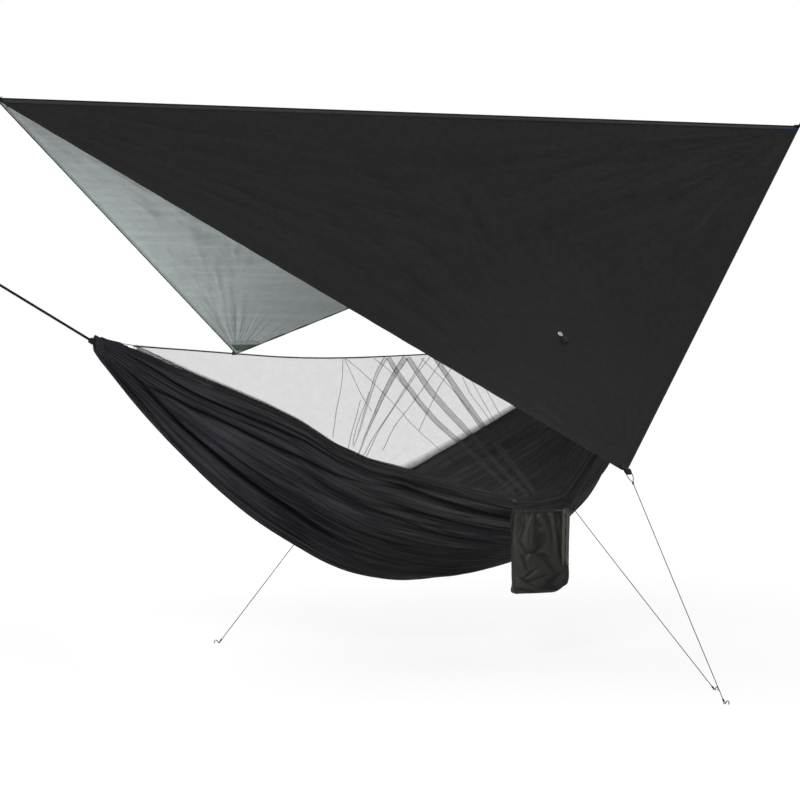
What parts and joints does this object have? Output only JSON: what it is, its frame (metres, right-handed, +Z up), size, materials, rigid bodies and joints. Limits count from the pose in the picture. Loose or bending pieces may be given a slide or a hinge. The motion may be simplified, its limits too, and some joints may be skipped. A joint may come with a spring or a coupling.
{
  "type": "hammock tent",
  "caption": "Gathered-end hammock with a zipped net, slung under a square fly on its diagonal, with ropes, carabiners, guy lines, pegs and a stuff sack.",
  "frame": {"origin": "where the tree strap bears inside the head-side carabiner", "axes": "+X along the hammock from its head end to its foot end, +Z up, -Y towards the side with the zip and the stuff sack"},
  "size_m": [4.0927, 3.4955, 2.3777],
  "materials": {
    "black_nylon": "matt woven nylon",
    "fly_black": "matt coated cloth",
    "fly_silver": "satin silver coating",
    "binding_green": "matt woven tape",
    "webbing_black": "matt woven webbing",
    "net_grey": "fine see-through netting",
    "cord_black": "braided cord",
    "guy_grey": "thin braided cord",
    "steel": "brushed",
    "peg_aluminium": "satin",
    "plastic_black": "fine texture"
  },
  "bodies": {
    "slung": {"fly_ridge_seam": "fly_black", "ridge_loop_head": "webbing_black", "ridge_loop_foot": "webbing_black", "ridge_tie": "guy_grey", "head_carabiner": "steel", "head_gate_pin": "steel", "head_eye": "cord_black", "head_rope": "cord_black", "head_knot": "cord_black", "foot_carabiner": "steel", "foot_gate_pin": "steel", "foot_eye": "cord_black", "bed": "black_nylon", "head_sleeve": "black_nylon", "foot_sleeve": "black_nylon", "near_hem": "black_nylon", "far_hem": "black_nylon", "zip_tape": "webbing_black", "net_near": "net_grey", "net_far": "net_grey", "net_ridge_cord": "cord_black", "near_tie_loop": "webbing_black", "near_line_eye": "guy_grey", "near_line": "guy_grey", "near_peg_eye": "guy_grey", "near_peg": "peg_aluminium", "far_tie_loop": "webbing_black", "far_line_eye": "guy_grey", "far_line": "guy_grey", "far_peg_eye": "guy_grey", "far_peg": "peg_aluminium", "sack_hanger": "webbing_black"},
    "near_fly": {"fly_near_panel": "fly_black", "fly_near_hem": "fly_black", "fly_near_patch": "fly_black", "fly_near_loop": "webbing_black", "fly_pull_tab": "webbing_black", "fly_line_eye": "guy_grey", "fly_line": "guy_grey", "fly_peg_eye": "guy_grey", "fly_peg": "peg_aluminium"},
    "far_fly": {"fly_far_panel": "fly_silver", "fly_far_hem": "binding_green", "fly_far_patch": "binding_green", "fly_far_patch_head": "binding_green", "fly_far_patch_foot": "binding_green", "fly_far_loop": "webbing_black"},
    "head_gate_body": {"head_gate": "steel"},
    "foot_gate_body": {"foot_gate": "steel"},
    "slider": {"zip_slider": "steel"},
    "pull": {"zip_pull": "plastic_black"},
    "sack": {"stuff_sack": "black_nylon", "sack_channel": "black_nylon", "sack_bail": "cord_black", "lock_body": "plastic_black", "lock_spring": "steel", "drawstring_inner": "cord_black", "drawstring_outer": "cord_black", "drawstring_knot": "cord_black"},
    "button": {"lock_button": "plastic_black"}
  },
  "joints": [
    {"name": "near_fly_lift", "type": "hinge", "parent": "slung", "child": "near_fly", "pos_m": [2.0092, 0, 0.621], "axis": [-1, 0, 0], "range_deg": [0, 46]},
    {"name": "far_fly_lift", "type": "hinge", "parent": "slung", "child": "far_fly", "pos_m": [2.0092, 0, 0.621], "axis": [1, 0, 0], "range_deg": [0, 31.6]},
    {"name": "head_gate_swing", "type": "hinge", "parent": "slung", "child": "head_gate_body", "pos_m": [0.0344, 0, -0.0388], "axis": [0, 1, 0], "range_deg": [0, 22], "stiffness_Nm_per_rad": 0.05, "springref_deg": -20.05},
    {"name": "foot_gate_swing", "type": "hinge", "parent": "slung", "child": "foot_gate_body", "pos_m": [3.27113, 0, -0.2305], "axis": [0, 1, 0], "range_deg": [0, 22], "stiffness_Nm_per_rad": 0.05, "springref_deg": -20.05},
    {"name": "zip_slide", "type": "slide", "parent": "slung", "child": "slider", "axis": [-0.9332, 0.2726, 0.234], "range_m": [0, 0.14]},
    {"name": "zip_pull_swing", "type": "hinge", "parent": "slider", "child": "pull", "pos_m": [2.0968, -0.47252, -0.90949], "axis": [0.3523, 0.5672, 0.7444], "range_deg": [0, 80]},
    {"name": "sack_swing", "type": "hinge", "parent": "slung", "child": "sack", "pos_m": [2.1518, -0.5186, -0.9473], "axis": [-0.9877, 0.1561, 0], "range_deg": [0, 60]},
    {"name": "lock_press", "type": "slide", "parent": "sack", "child": "button", "axis": [0, 0, -1], "range_m": [0, 0.0038], "stiffness_N_per_m": 300, "springref_m": -0.004}
  ]
}
